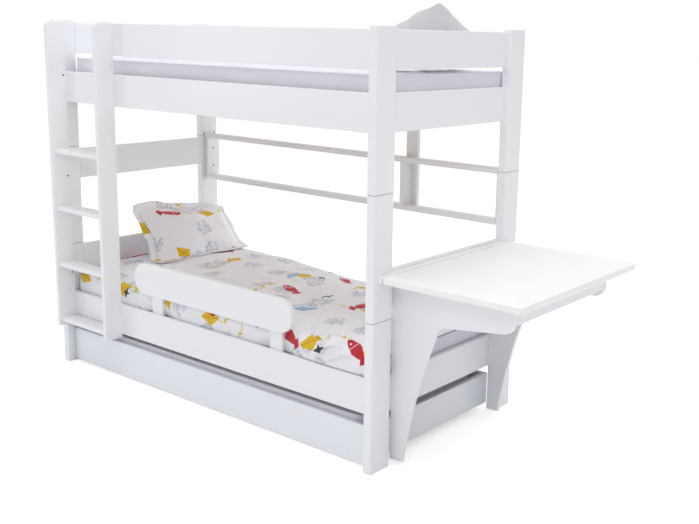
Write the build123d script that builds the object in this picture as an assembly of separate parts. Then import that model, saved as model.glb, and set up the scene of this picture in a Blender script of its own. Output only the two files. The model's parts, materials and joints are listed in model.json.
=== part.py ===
"""Bunk bed with a ladder, a pull-out bed on castors, an end desk and a shelf behind, in millimetres.

X runs along the bed from the ladder end to the desk end, Y from the front to the back, Z up.
Sizes are written in the bed's own frame, which starts at the outer front corner of the ladder end.
CENTRE_X and CENTRE_Y move it, so that the origin is on the floor under the middle of the whole piece.
"""

import os
from math import hypot, pi, sin

from build123d import *

# Frame
LENGTH = 2090
DEPTH = 1028
POST_T = 40
POST_W = 115
SEAM_LOW = 622
SEAM_HIGH = 1122
POST_TOP = 1746
POST_EASE = 3

# Boards
BOARD = 22
BOARD_H = 150
EASE = 2
FRONT_RECESS = 40
BACK_RECESS = 22
RAIL_UP = 227
GUARD_UP = 463
UPPER_UP = 1123
MIDDLE_LEFT = 959
MIDDLE_RIGHT = 667

# Fastenings hidden in the frame
DOWEL_R = 5
DOWEL_L = 60
DOWEL_APART = 64
BOLT_R = 4
BOLT_IN_POST = 28
BOLT_IN_RAIL = 35

# Slatted bases
LEDGER = 20
SLAT_T = 18
SLAT_W = 70
SLATS = 14
SLAT_UP = 282

# Mattresses
MATTRESS_L = 2000
MATTRESS_W = 900
MATTRESS_T = 150
MATTRESS_CORNER = 35
MATTRESS_EDGE = 8

# Ladder
STILE_FRONT = -57
STILE_LOW = 212
STILE_TOP = 1742
STILE_NOSE = 30
STILE_RIGHT_X = 428
TREAD_FRONT = -45
TREAD_BACK = 34
TREAD_FIRST = 232
TREAD_STEP = 289
TREADS = 4
TREAD_EASE = 4

# Lower guard
GUARD_LOW = 465
GUARD_LEFT = 558
GUARD_RIGHT = 1616
GUARD_UPRIGHT_W = 75
GUARD_UPRIGHT_T = 18
GUARD_UPRIGHTS = (702, 1502)

# Shelf behind
SHELF_FRONT = 938
SHELF_LOW = 872
SHELF_HIGH = 1107
DIVIDER_X = 1471
BATTEN_X = 1455
BATTEN_W = 70

# Desk
DESK_END = 2729
DESK_FRONT = 28
DESK_BACK = 945
DESK_UNDER = 780
DESK_T = 27
DESK_CORNER = 20
DESK_EDGE = 4
PANEL_FRONT_Y = 143
PANEL_BACK_Y = 860
PANEL_LOW = 20
FOOT_END = 2132
LEG_MID = (2187, 290)
KNEE = (2297, 620)
ARM_CORNER = (2629, 661)
KNEE_R = 60
ARM_R = 45
APRON_LOW = 688

# Pull-out bed
PULL_END_GAP = 45
PULL_FRONT_LOW = 10
PULL_SIDE_LOW = 30
PULL_TOP = 178
PULL_BACK = 900
PULL_BASE_LOW = 50
PULL_BASE_T = 12
PULL_MATTRESS_L = 1900
PULL_MATTRESS_W = 800
PULL_MATTRESS_TOP = 204

# Castors
WHEEL_R = 20
WHEEL_W = 18
AXLE_R = 4
RUNNING = 0.05
FORK_T = 2.5
FORK_GAP = 1.5
PLATE = 56
CASTOR_X = (145, 1945)
CASTOR_Y = (130, 830)

# Bedding
CLEAR = 0.4
DUVET_LOW = 380
DUVET_LEFT = 46
DUVET_RIGHT = 2046
DUVET_BACK = 983
SPILL_FROM = 1575
SPILL_OVER = 110
CROWN = 503
PILLOW_SHARES = (0.5, 0.73, 0.9, 1, 0.9, 0.73, 0.5)
PILLOW_DRAW = 9
SIDE_STEPS = 4

BED_BACK = DEPTH - BACK_RECESS - BOARD
RAIL_FRONT = FRONT_RECESS
RAIL_BACK = FRONT_RECESS + BOARD
SHELF_BACK = DEPTH - BACK_RECESS
CENTRE_X = DESK_END / 2
CENTRE_Y = (STILE_FRONT + DEPTH) / 2


def place(x, y, z):
    """A point of the bed's own frame, moved into the part's frame."""
    return (x - CENTRE_X, y - CENTRE_Y, z)


def block(x0, x1, y0, y1, z0, z1):
    """A plain box between two corners."""
    middle = place((x0 + x1) / 2, (y0 + y1) / 2, (z0 + z1) / 2)
    return Pos(*middle) * Box(x1 - x0, y1 - y0, z1 - z0)


def board(x0, x1, y0, y1, z0, z1, ease=EASE, rounded=False):
    """A board with its four long edges broken, or rounded over."""
    spans = (x1 - x0, y1 - y0, z1 - z0)
    along = (Axis.X, Axis.Y, Axis.Z)[spans.index(max(spans))]
    solid = block(x0, x1, y0, y1, z0, z1)
    edges = solid.edges().filter_by(along)
    return fillet(edges, ease) if rounded else chamfer(edges, ease)


def pin(centre, along, radius, length):
    """A fluted pin, drawn with eight flats, with its middle at centre."""
    turn = {"X": Rot(0, 90, 0), "Z": Rot(0, 0, 0)}[along]
    bar = extrude(RegularPolygon(radius, 8), length / 2, both=True)
    return Pos(*place(*centre)) * turn * bar


def save(name, *solids):
    """One node: a single solid, or a group of alike solids."""
    shape = solids[0] if len(solids) == 1 else Compound(children=list(solids))
    export_step(shape, f"parts/{name}.step")


def post_dowel_places():
    """The middle of each hidden dowel between stacked post pieces."""
    spots = []
    for x in (POST_T / 2, LENGTH - POST_T / 2):
        for y in (POST_W / 2, DEPTH - POST_W / 2):
            for z in (SEAM_LOW, SEAM_HIGH):
                for side in (-0.5, 0.5):
                    spots.append((x, y + side * DOWEL_APART, z))
    return spots


def rail_bolt_places():
    """The middle of each bolt that runs lengthwise through a post into a long rail."""
    spots = []
    reach = (BOLT_IN_RAIL - BOLT_IN_POST) / 2
    for y in (RAIL_FRONT + BOARD / 2, BED_BACK + BOARD / 2):
        for base in (RAIL_UP, UPPER_UP + RAIL_UP):
            z = base + BOARD_H / 2
            spots.append((POST_T + reach, y, z))
            spots.append((LENGTH - POST_T - reach, y, z))
    return spots


DOWELS = [pin(spot, "Z", DOWEL_R, DOWEL_L) for spot in post_dowel_places()]
BOLTS = [pin(spot, "X", BOLT_R, BOLT_IN_POST + BOLT_IN_RAIL) for spot in rail_bolt_places()]


def drilled(solid):
    """The solid with a hole for each dowel and bolt that enters it."""
    box = solid.bounding_box()
    for fastening in DOWELS + BOLTS:
        at = fastening.bounding_box()
        apart = (
            at.min.X > box.max.X or at.max.X < box.min.X
            or at.min.Y > box.max.Y or at.max.Y < box.min.Y
            or at.min.Z > box.max.Z or at.max.Z < box.min.Z
        )
        if not apart:
            solid = solid - fastening
    return solid


def make_posts():
    """Four corner posts, each stacked from three pieces on dowels."""
    ends = {"left": 0, "right": LENGTH - POST_T}
    rows = {"front": 0, "back": DEPTH - POST_W}
    levels = {"foot": (0, SEAM_LOW), "mid": (SEAM_LOW, SEAM_HIGH), "top": (SEAM_HIGH, POST_TOP)}
    for row, y in rows.items():
        for end, x in ends.items():
            for level, (low, high) in levels.items():
                piece = board(x, x + POST_T, y, y + POST_W, low, high, POST_EASE, rounded=True)
                save(f"post_{row}_{end}_{level}", drilled(piece))
    save("post_dowels", *DOWELS)
    save("rail_bolts", *BOLTS)


def long_board(y, low, x0=POST_T):
    """A board that runs lengthwise between the posts."""
    return board(x0, LENGTH - POST_T, y, y + BOARD, low, low + BOARD_H)


def end_board(side, low):
    """A board across one end, flush with the inner faces of its posts."""
    x = POST_T - BOARD if side == "left" else LENGTH - POST_T
    return board(x, x + BOARD, POST_W, DEPTH - POST_W, low, low + BOARD_H)


def make_boards():
    """Rails, guards and end boards of both beds."""
    save("lower_rail_front", drilled(long_board(RAIL_FRONT, RAIL_UP)))
    save("lower_rail_back", drilled(long_board(BED_BACK, RAIL_UP)))
    save("upper_rail_front", drilled(long_board(RAIL_FRONT, UPPER_UP + RAIL_UP)))
    save("upper_rail_back", drilled(long_board(BED_BACK, UPPER_UP + RAIL_UP)))
    save("upper_guard_front", long_board(RAIL_FRONT, UPPER_UP + GUARD_UP, STILE_RIGHT_X))
    save("upper_guard_back", long_board(BED_BACK, UPPER_UP + GUARD_UP))
    save("headboard", end_board("left", GUARD_UP))
    save("footboard", end_board("right", GUARD_UP))
    save("middle_board_left", end_board("left", MIDDLE_LEFT))
    save("middle_board_right", end_board("right", MIDDLE_RIGHT))
    for side in ("left", "right"):
        save(f"lower_end_rail_{side}", end_board(side, RAIL_UP))
        save(f"upper_end_rail_{side}", end_board(side, UPPER_UP + RAIL_UP))
        save(f"upper_end_guard_{side}", end_board(side, UPPER_UP + GUARD_UP))


def make_bases():
    """Ledgers along the rails and the loose slats laid on them."""
    ledgers = []
    slats = []
    inside = LENGTH - 2 * POST_T
    pitch = (inside - SLAT_W - 60) / (SLATS - 1)
    for level in (0, UPPER_UP):
        low = level + SLAT_UP - LEDGER
        for y in (RAIL_BACK, BED_BACK - LEDGER):
            ledgers.append(block(POST_T + 20, LENGTH - POST_T - 20, y, y + LEDGER, low, low + LEDGER))
        for i in range(SLATS):
            x = POST_T + 30 + i * pitch
            top = level + SLAT_UP + SLAT_T
            slats.append(block(x, x + SLAT_W, RAIL_BACK + 1, BED_BACK - 1, top - SLAT_T, top))
    save("slat_ledgers", *ledgers)
    save("bed_slats", *slats)


def stile(x):
    """A ladder side with a rounded top front corner."""
    solid = block(x, x + BOARD, STILE_FRONT, RAIL_FRONT, STILE_LOW, STILE_TOP)
    top = solid.edges().filter_by(Axis.X).group_by(Axis.Z)[-1].sort_by(Axis.Y)[0]
    solid = fillet(top, STILE_NOSE)
    front = solid.edges().filter_by(Axis.Z).group_by(Axis.Y)[0]
    return chamfer(front, EASE)


def make_ladder():
    """Two stiles and four treads, screwed to the left post and the front boards."""
    save("ladder_stile_left", stile(POST_T))
    save("ladder_stile_right", stile(STILE_RIGHT_X))
    treads = []
    for i in range(TREADS):
        z = TREAD_FIRST + i * TREAD_STEP
        solid = block(POST_T + BOARD, STILE_RIGHT_X, TREAD_FRONT, TREAD_BACK, z, z + BOARD)
        front = solid.edges().filter_by(Axis.X).group_by(Axis.Y)[0]
        treads.append(chamfer(front, TREAD_EASE))
    save("ladder_treads", *treads)


def make_lower_guard():
    """The round-ended guard of the lower bed on two uprights behind the rail."""
    solid = block(GUARD_LEFT, GUARD_RIGHT, RAIL_FRONT, RAIL_BACK, GUARD_LOW, GUARD_LOW + BOARD_H)
    solid = fillet(solid.edges().filter_by(Axis.Y), BOARD_H / 2 - 0.05)
    save("lower_guard_board", chamfer(solid.faces().sort_by(Axis.Y)[0].edges(), EASE))
    low = SLAT_UP + SLAT_T + 2
    uprights = []
    for x in GUARD_UPRIGHTS:
        half = GUARD_UPRIGHT_W / 2
        high = GUARD_LOW + BOARD_H - 20
        uprights.append(board(x - half, x + half, RAIL_BACK, RAIL_BACK + GUARD_UPRIGHT_T, low, high))
    save("lower_guard_uprights", *uprights)


def make_shelf():
    """Two long planks behind the bed, three uprights between them and one batten at the back."""
    for name, low in (("shelf_plank_low", SHELF_LOW), ("shelf_plank_high", SHELF_HIGH)):
        save(name, board(POST_T, LENGTH - POST_T, SHELF_FRONT, SHELF_BACK, low, low + BOARD))
    low = SHELF_LOW + BOARD
    uprights = [board(DIVIDER_X, DIVIDER_X + BOARD, SHELF_FRONT, SHELF_BACK, low, SHELF_HIGH)]
    for x in (POST_T, LENGTH - POST_T - BOARD):
        uprights.append(board(x, x + BOARD, SHELF_FRONT, DEPTH, low, SHELF_HIGH))
    save("shelf_uprights", *uprights)
    top = UPPER_UP + RAIL_UP + BOARD_H
    save("shelf_batten", board(BATTEN_X, BATTEN_X + BATTEN_W, SHELF_BACK, DEPTH, SHELF_LOW, top))


def panel_outline():
    """The desk side seen from the front: a slim foot that sweeps up into a short arm."""
    back = LENGTH - POST_T + BOARD
    foot_in = (back, PANEL_LOW)
    foot_out = (FOOT_END, PANEL_LOW)
    arm_top = (ARM_CORNER[0], DESK_UNDER)
    back_top = (back, DESK_UNDER)
    edges = [
        Line(foot_in, foot_out),
        ThreePointArc(foot_out, LEG_MID, KNEE),
        Line(KNEE, ARM_CORNER),
        Line(ARM_CORNER, arm_top),
        Line(arm_top, back_top),
        Line(back_top, foot_in),
    ]
    face = make_face(Wire(edges))
    knee = face.vertices().sort_by_distance((*KNEE, 0))[0]
    face = fillet(knee, KNEE_R)
    corner = face.vertices().sort_by_distance((*ARM_CORNER, 0))[0]
    return fillet(corner, ARM_R)


def desk_panel(y):
    """One desk side, cut from the outline and eased all round."""
    flat = extrude(panel_outline(), BOARD)
    solid = Pos(-CENTRE_X, y + BOARD - CENTRE_Y, 0) * Rot(90, 0, 0) * flat
    faces = solid.faces().filter_by(Axis.Y)
    return chamfer(faces.edges(), 1.5)


def make_desk():
    """A desk fixed across the end: top, two cut-out sides and an apron between them."""
    back = LENGTH - POST_T + BOARD + 1
    notch = LENGTH + 1
    points = [
        (back, POST_W + 1), (notch, POST_W + 1), (notch, DESK_FRONT), (DESK_END, DESK_FRONT),
        (DESK_END, DESK_BACK), (notch, DESK_BACK), (notch, DEPTH - POST_W - 1), (back, DEPTH - POST_W - 1),
    ]
    flat = make_face(Polyline(*points, close=True))
    outer = flat.vertices().group_by(Axis.X)[-1]
    flat = fillet(outer, DESK_CORNER)
    solid = Pos(-CENTRE_X, -CENTRE_Y, DESK_UNDER) * extrude(flat, DESK_T)
    limit = notch - CENTRE_X
    rims = [
        edge for edge in solid.edges()
        if abs(edge.tangent_at(0.5).Z) < 0.1 and edge.center().X > limit + 1
    ]
    save("desk_top", fillet(rims, DESK_EDGE))
    save("desk_panel_front", desk_panel(PANEL_FRONT_Y))
    save("desk_panel_back", desk_panel(PANEL_BACK_Y))
    x1 = ARM_CORNER[0] - 2
    near = PANEL_FRONT_Y + BOARD
    save("desk_apron", board(x1 - BOARD, x1, near, PANEL_BACK_Y, APRON_LOW, DESK_UNDER))


def make_pull_out():
    """A low box on castors that slides under the lower bed."""
    x0 = PULL_END_GAP
    x1 = LENGTH - PULL_END_GAP
    inner = (x0 + BOARD, x1 - BOARD)
    save("pull_front", board(x0, x1, RAIL_FRONT, RAIL_BACK, PULL_FRONT_LOW, PULL_TOP, 3))
    ends = [board(x, x + BOARD, RAIL_BACK, PULL_BACK, PULL_SIDE_LOW, PULL_TOP) for x in (x0, inner[1])]
    save("pull_ends", *ends)
    save("pull_back", board(*inner, PULL_BACK - BOARD, PULL_BACK, PULL_SIDE_LOW, PULL_TOP))
    low = PULL_BASE_LOW
    save("pull_base", block(*inner, RAIL_BACK, PULL_BACK - BOARD, low, low + PULL_BASE_T))
    middle = LENGTH / 2
    half = PULL_MATTRESS_L / 2
    y = RAIL_BACK + 3
    foam = mattress(middle - half, middle + half, y, y + PULL_MATTRESS_W, low + PULL_BASE_T, PULL_MATTRESS_TOP)
    save("pull_mattress", foam)


def castor_bracket(x, y):
    """A pressed plate with two fork cheeks and the riveted axle between them."""
    plate_top = PULL_BASE_LOW
    gap = WHEEL_W / 2 + FORK_GAP
    solid = Pos(x, y, plate_top - FORK_T / 2) * Box(PLATE, PLATE, FORK_T)
    solid = chamfer(solid.edges().filter_by(Axis.Z), 8)
    for side in (-1, 1):
        middle = x + side * (gap + FORK_T / 2)
        low = WHEEL_R - 9
        high = plate_top - FORK_T
        cheek = Pos(middle, y, (low + high) / 2) * Box(FORK_T, 28, high - low)
        low = cheek.edges().filter_by(Axis.X).group_by(Axis.Z)[0]
        solid = solid + chamfer(low, 8)
    axle = Pos(x, y, WHEEL_R) * Rot(0, 90, 0) * Cylinder(AXLE_R, 2 * gap + FORK_T)
    return Pos(*place(0, 0, 0)) * (solid + axle)


def castor_wheel(x, y):
    """A solid wheel that runs on the axle."""
    rim = Cylinder(WHEEL_R, WHEEL_W) - Cylinder(AXLE_R + RUNNING, WHEEL_W + 2)
    return Pos(*place(x, y, WHEEL_R)) * Rot(0, 90, 0) * rim


def make_castors():
    """Four fixed castors under the pull-out bed."""
    brackets = []
    for row, y in zip(("front", "back"), CASTOR_Y):
        for end, x in zip(("left", "right"), CASTOR_X):
            brackets.append(castor_bracket(x, y))
            save(f"castor_wheel_{row}_{end}", castor_wheel(x, y))
    save("castor_brackets", *brackets)


def mattress(x0, x1, y0, y1, z0, z1):
    """A foam mattress with rounded corners and soft edges."""
    solid = block(x0, x1, y0, y1, z0, z1)
    solid = fillet(solid.edges().filter_by(Axis.Z), MATTRESS_CORNER)
    rims = solid.edges().filter_by(Axis.Z, reverse=True)
    return chamfer(rims, MATTRESS_EDGE)


def duvet_section(x):
    """One cut across the duvet: tucked behind the rail at the left, spilling over it at the right."""
    along = (x - DUVET_LEFT) / (DUVET_RIGHT - DUVET_LEFT)
    spill = min(max((x - SPILL_FROM) / SPILL_OVER, 0), 1)
    lump = sin(5 * pi * along)
    under = MATTRESS_TOP + CLEAR
    inner = RAIL_BACK + MATTRESS_GAP - CLEAR
    face = RAIL_BACK + GUARD_UPRIGHT_T + CLEAR
    front = face + spill * (48 - 6 * lump - face)
    shoulder = 476 + 4 * lump
    brow = shoulder - 22 - 23 * spill
    back_top = 494 - 34 * min(max((x - 600) / 600, 0), 1)
    low = DUVET_LOW + 3 * spill
    hem = Vector(*place(x, front + 6 * spill, low))
    tuck = Vector(*place(x, inner, low))
    corner = Vector(*place(x, inner, under))
    back_low = Vector(*place(x, DUVET_BACK, under))
    back_high = Vector(*place(x, DUVET_BACK, back_top))
    ridge = Vector(*place(x, 520, CROWN + 6 * lump))
    roll = Vector(*place(x, inner + 34, shoulder))
    nose = Vector(*place(x, front, brow))
    return make_face(Wire([
        Line(hem, tuck),
        Line(tuck, corner),
        Line(corner, back_low),
        Line(back_low, back_high),
        ThreePointArc(back_high, ridge, roll),
        TangentArc(nose, roll, tangent=(0, 0, 1)),
        Line(nose, hem),
    ]))


def drawn_in(corners, draw):
    """A closed outline whose sides are drawn in between its corners."""
    loop = []
    for (x0, y0), (x1, y1) in zip(corners, corners[1:] + corners[:1]):
        run = hypot(x1 - x0, y1 - y0)
        for i in range(SIDE_STEPS):
            share = i / SIDE_STEPS
            pull = -draw * 4 * share * (1 - share) / run
            loop.append((
                x0 + share * (x1 - x0) + pull * (y1 - y0),
                y0 + share * (y1 - y0) - pull * (x1 - x0),
            ))
    return loop


def stuffed(corners, thick):
    """A cushion whose drawn-in outline shrinks towards both faces."""
    outline = drawn_in(corners, PILLOW_DRAW)
    rings = []
    for height, share in zip((-1, -0.82, -0.45, 0, 0.45, 0.82, 1), PILLOW_SHARES):
        rings.append([(x * share, y * share, height * thick / 2) for x, y in outline])
    faces = [Face(Wire.make_polygon(ring, close=True)) for ring in (rings[0], rings[-1])]
    for low, high in zip(rings, rings[1:]):
        for i in range(len(outline)):
            corner = [low[i - 1], low[i], high[i], high[i - 1]]
            faces.append(Face(Wire.make_polygon(corner, close=True)))
    return Solid(Shell(faces))


def make_lower_pillow():
    """A thick pillow that stands on the duvet and leans back to the headboard."""
    half_w = 290
    half_h = 205
    corners = [(-half_w, -half_h), (half_w, -half_h), (half_w, half_h), (-half_w, half_h)]
    solid = stuffed(corners, 170)
    lean = Rot(0, 0, 90) * Rot(90 - 42, 0, 0)
    solid = Pos(*place(212, 690, 608)) * lean * solid
    floor = block(-100, 800, 200, 1200, 300, 510.6)
    save("lower_pillow", solid - floor)


def make_upper_pillow():
    """A pillow propped on the end guard, its top drawn up to a peak."""
    corners = [(-300, -135), (300, -135), (292, 40), (15, 158), (-150, 90), (-290, 30)]
    solid = stuffed(corners, 150)
    lean = Rot(0, 0, -90) * Rot(90 - 20, 0, 0)
    solid = Pos(*place(1948, 512, 1700)) * lean * solid
    top = UPPER_UP + SLAT_UP + SLAT_T + MATTRESS_T
    floor = block(1500, 2400, 0, 1100, top - 200, top + CLEAR)
    save("upper_pillow", solid - floor)


def make_bedding():
    """Mattresses, duvet and pillows."""
    x0 = (LENGTH - MATTRESS_L) / 2
    y0 = RAIL_BACK + MATTRESS_GAP
    for name, level in (("lower_mattress", 0), ("upper_mattress", UPPER_UP)):
        low = level + SLAT_UP + SLAT_T
        save(name, mattress(x0, x0 + MATTRESS_L, y0, y0 + MATTRESS_W, low, low + MATTRESS_T))
    stops = (DUVET_LEFT, 250, 450, 650, 850, 1050, 1250, 1420, 1575, 1685, 1800, 1920, DUVET_RIGHT)
    save("duvet", loft([duvet_section(x) for x in stops], ruled=True))
    make_lower_pillow()
    make_upper_pillow()


MATTRESS_GAP = BED_BACK - RAIL_BACK - MATTRESS_W
MATTRESS_TOP = SLAT_UP + SLAT_T + MATTRESS_T

os.makedirs("parts", exist_ok=True)
make_posts()
make_boards()
make_bases()
make_ladder()
make_lower_guard()
make_shelf()
make_desk()
make_pull_out()
make_castors()
make_bedding()
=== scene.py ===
import json
import math

import bpy
import numpy as np
from mathutils import Matrix, Vector, noise


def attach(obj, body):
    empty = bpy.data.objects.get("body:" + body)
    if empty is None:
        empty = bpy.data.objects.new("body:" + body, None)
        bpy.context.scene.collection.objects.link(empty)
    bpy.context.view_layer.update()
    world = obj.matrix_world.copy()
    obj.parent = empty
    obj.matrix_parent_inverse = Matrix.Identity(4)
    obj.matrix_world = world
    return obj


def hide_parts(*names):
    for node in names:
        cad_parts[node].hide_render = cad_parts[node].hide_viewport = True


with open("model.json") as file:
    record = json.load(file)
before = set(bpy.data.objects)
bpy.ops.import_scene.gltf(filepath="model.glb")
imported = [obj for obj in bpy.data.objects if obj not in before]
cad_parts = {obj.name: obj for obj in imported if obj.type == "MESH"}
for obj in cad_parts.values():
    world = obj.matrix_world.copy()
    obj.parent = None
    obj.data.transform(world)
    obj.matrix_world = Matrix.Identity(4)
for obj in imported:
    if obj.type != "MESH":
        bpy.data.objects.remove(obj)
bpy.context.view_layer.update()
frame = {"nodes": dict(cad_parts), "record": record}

# The bed's own frame is in millimetres from the outer front corner of the ladder end
CENTRE_X = 1364.5
CENTRE_Y = 485.5
MM = 0.001

# Camera, in the bed's frame and in degrees
CAMERA_AT = (4370.5, -2763.9, 1723.3)
CAMERA_YAW = -37.82
CAMERA_PITCH = 11.37
CAMERA_ROLL = 1.32
CAMERA_LENS = 50.05
CAMERA_SHIFT = (-0.0761, -0.0482)

# Colours as the eye names them, from 0 to 255
PAINT_WHITE = (241, 243, 247)
DESK_WHITE = (248, 248, 249)
SHEET_WHITE = (238, 238, 246)
MATTRESS_TICK = (238, 238, 248)
PRINT_GROUND = (245, 245, 250)
PRINT_WASH = (190, 192, 210)
PRINT_HAZE = (172, 176, 204)
PRINT_YELLOW = (234, 192, 22)
KITE_RIB = (196, 150, 10)
PRINT_RED = (196, 24, 44)
FISH_LINE = (238, 226, 228)
PRINT_BLUE = (70, 132, 212)
PRINT_SKY = (156, 192, 226)
LEAF_VEIN = (226, 234, 244)
PRINT_DARK = (58, 58, 76)
PRINT_LIME = (214, 204, 70)
PILLOW_GREY = (226, 223, 228)

# The narrow strip of the desk top beside the bed ends here
DESK_STRIP = 2112

# Mattresses, and what the duvet keeps clear of
MATTRESS_X = (46, 2044)
MATTRESS_Y = (85, 983)
MATTRESS_TOP = 450
GUARD_UPRIGHTS = (702, 1502)
UPRIGHT_CLEAR = 81
GUARD_CLEAR = 63.5
OVER_RAIL = 378
BEHIND_RAIL = 366

# The duvet: its reach, where it spills over the rail, and where its folds gather
DUVET_LEFT = 46
DUVET_RIGHT = 2046
DUVET_BACK = 982
DUVET_CELL = 13
SPILL_FROM = 1575
SPILL_OVER = 110
GATHER = (1740, 0)

# Pillows: where they stand, how far back they lean in degrees, and what they touch
LOWER_PILLOW_AT = (212, 690, 606)
LOWER_PILLOW_TILT = 42
HEADBOARD_FACE = 44
DUVET_TOP = 511
UPPER_PILLOW_AT = (1948, 512, 1700)
UPPER_PILLOW_TILT = 20
UPPER_PILLOW_FOOT = -135
UPPER_PILLOW_PEAK = 15
END_GUARD_FACE = 2047
SHEET_TOP = 1574

# The filling's pressure, the frames it works for, and its share in the drawn-in outline
PILLOW_PRESSURE = 4.0
PILLOW_FRAMES = 24
DRAWN_IN = 0.3

# The white room's light on the bed, where 1 is what the eye sees of it
ROOM_LIGHT = 0.63


def place(x, y, z):
    """A point of the bed's frame in metres of the part's frame."""
    return Vector(((x - CENTRE_X) * MM, (y - CENTRE_Y) * MM, z * MM))


def tone(rgb, alpha=1):
    """A named colour turned into the renderer's linear values."""
    linear = []
    for value in rgb:
        share = value / 255
        linear.append(share / 12.92 if share <= 0.04045 else ((share + 0.055) / 1.055) ** 2.4)
    return (*linear, alpha)


def smooth(value, low=0.0, high=1.0):
    """An even rise from 0 to 1 between two values."""
    share = min(max((value - low) / (high - low), 0), 1)
    return share * share * (3 - 2 * share)


# Nodes

SOCKETS = {
    "float": "NodeSocketFloat", "colour": "NodeSocketColor", "vector": "NodeSocketVector",
    "geometry": "NodeSocketGeometry", "material": "NodeSocketMaterial",
}


def add(tree, kind, values=None, **settings):
    """One node, with its settings and with values or links on its inputs."""
    node = tree.nodes.new(kind)
    for key, value in settings.items():
        setattr(node, key, value)
    for key, value in (values or {}).items():
        if isinstance(value, bpy.types.NodeSocket):
            tree.links.new(value, node.inputs[key])
        else:
            node.inputs[key].default_value = value
    return node


def calc(tree, operation, *values, clamp=False):
    """The result of a Math node."""
    node = add(tree, "ShaderNodeMath", dict(enumerate(values)), operation=operation)
    node.use_clamp = clamp
    return node.outputs[0]


def arrow(tree, operation, *values):
    """The vector result of a Vector Math node."""
    return add(tree, "ShaderNodeVectorMath", dict(enumerate(values)), operation=operation).outputs[0]


def between(tree, share, low, high):
    """A colour mixed from two by a share."""
    return add(tree, "ShaderNodeMix", {0: share, 6: low, 7: high}, data_type="RGBA").outputs[2]


def step_up(tree, value, low, high):
    """A smooth mask that rises from 0 at low to 1 at high."""
    settings = {"Value": value, "From Min": low, "From Max": high}
    return add(tree, "ShaderNodeMapRange", settings, interpolation_type="SMOOTHSTEP").outputs[0]


def parts_of(tree, vector):
    """The X, Y and Z of a vector."""
    return add(tree, "ShaderNodeSeparateXYZ", {0: vector}).outputs


def speckle(tree, vector, scale, detail=2.0, rough=0.5):
    """A noise from 0 to 1."""
    settings = {"Vector": vector, "Scale": scale, "Detail": detail, "Roughness": rough}
    return add(tree, "ShaderNodeTexNoise", settings).outputs["Fac"]


def stretched(tree, vector, sizes):
    """Coordinates scaled unevenly, so that a noise gets a direction."""
    return add(tree, "ShaderNodeMapping", {"Vector": vector, "Scale": sizes}).outputs[0]


def group(name, inputs, outputs, kind="ShaderNodeTree"):
    """An empty node group with named sockets, and its two end nodes."""
    tree = bpy.data.node_groups.new(name, kind)
    for label, socket_kind, value in inputs:
        socket = tree.interface.new_socket(label, in_out="INPUT", socket_type=SOCKETS[socket_kind])
        if value is not None:
            socket.default_value = value
    for label, socket_kind in outputs:
        tree.interface.new_socket(label, in_out="OUTPUT", socket_type=SOCKETS[socket_kind])
    return tree, tree.nodes.new("NodeGroupInput").outputs, tree.nodes.new("NodeGroupOutput").inputs


def use(tree, grouped, **values):
    """A group placed in a material, with its own values."""
    node = tree.nodes.new("ShaderNodeGroup")
    node.node_tree = grouped
    for key, value in values.items():
        socket = node.inputs[key.replace("_", " ")]
        if isinstance(value, bpy.types.NodeSocket):
            tree.links.new(value, socket)
        else:
            socket.default_value = value
    return node.outputs


def make_lacquer_group():
    """Sprayed white lacquer: a fine orange peel, faint mottling, softer edges and scuffs near the floor."""
    tree, given, out = group(
        "lacquered_board",
        [
            ("Place", "vector", None), ("Tint", "colour", (1, 1, 1, 1)), ("Gloss", "float", 0.3),
            ("Scuffs", "float", 0.5), ("Peel", "float", 1.0),
        ],
        [("Colour", "colour"), ("Roughness", "float"), ("Height", "float")],
    )
    spot = given["Place"]
    mottle = speckle(tree, spot, 2.6, 3)
    cloud = speckle(tree, spot, 7, 2, 0.4)
    peel = speckle(tree, spot, 420, 2)
    orange = speckle(tree, spot, 1500, 1)
    facing = add(tree, "ShaderNodeNewGeometry").outputs["True Normal"]
    x, y, z = parts_of(tree, arrow(tree, "ABSOLUTE", facing))
    square = calc(tree, "MAXIMUM", calc(tree, "MAXIMUM", x, y), z)
    edge = step_up(tree, square, 0.995, 0.8)
    rubbed = calc(tree, "MULTIPLY", edge, step_up(tree, speckle(tree, spot, 38, 5, 0.7), 0.45, 0.72))
    near_floor = step_up(tree, parts_of(tree, spot)[2], 0.16, 0.0)
    marks = step_up(tree, speckle(tree, stretched(tree, spot, (1, 1, 6)), 34, 6, 0.75), 0.56, 0.7)
    scuff = calc(tree, "MULTIPLY", calc(tree, "MULTIPLY", near_floor, marks), given["Scuffs"])
    base = between(tree, step_up(tree, mottle, 0.2, 0.8), given["Tint"], (0.8, 0.81, 0.85, 1))
    base = between(tree, 0.9, base, given["Tint"])
    soiling = (
        (step_up(tree, cloud, 0.3, 0.9), 0.015, (0.6, 0.6, 0.62, 1)),
        (rubbed, 0.05, (0.55, 0.53, 0.5, 1)),
        (scuff, 0.35, (0.42, 0.41, 0.4, 1)),
    )
    for mask, depth, tint in soiling:
        base = between(tree, calc(tree, "MULTIPLY", mask, depth), base, tint)
    tree.links.new(base, out["Colour"])
    uneven = calc(tree, "MULTIPLY_ADD", calc(tree, "SUBTRACT", cloud, 0.5), 0.03, given["Gloss"])
    worn = calc(tree, "MULTIPLY_ADD", calc(tree, "ADD", rubbed, scuff), 0.2, uneven)
    tree.links.new(calc(tree, "MAXIMUM", worn, 0.08), out["Roughness"])
    fine = calc(tree, "MULTIPLY_ADD", orange, 0.35, peel)
    tree.links.new(calc(tree, "MULTIPLY", fine, given["Peel"]), out["Height"])
    return tree


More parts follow.
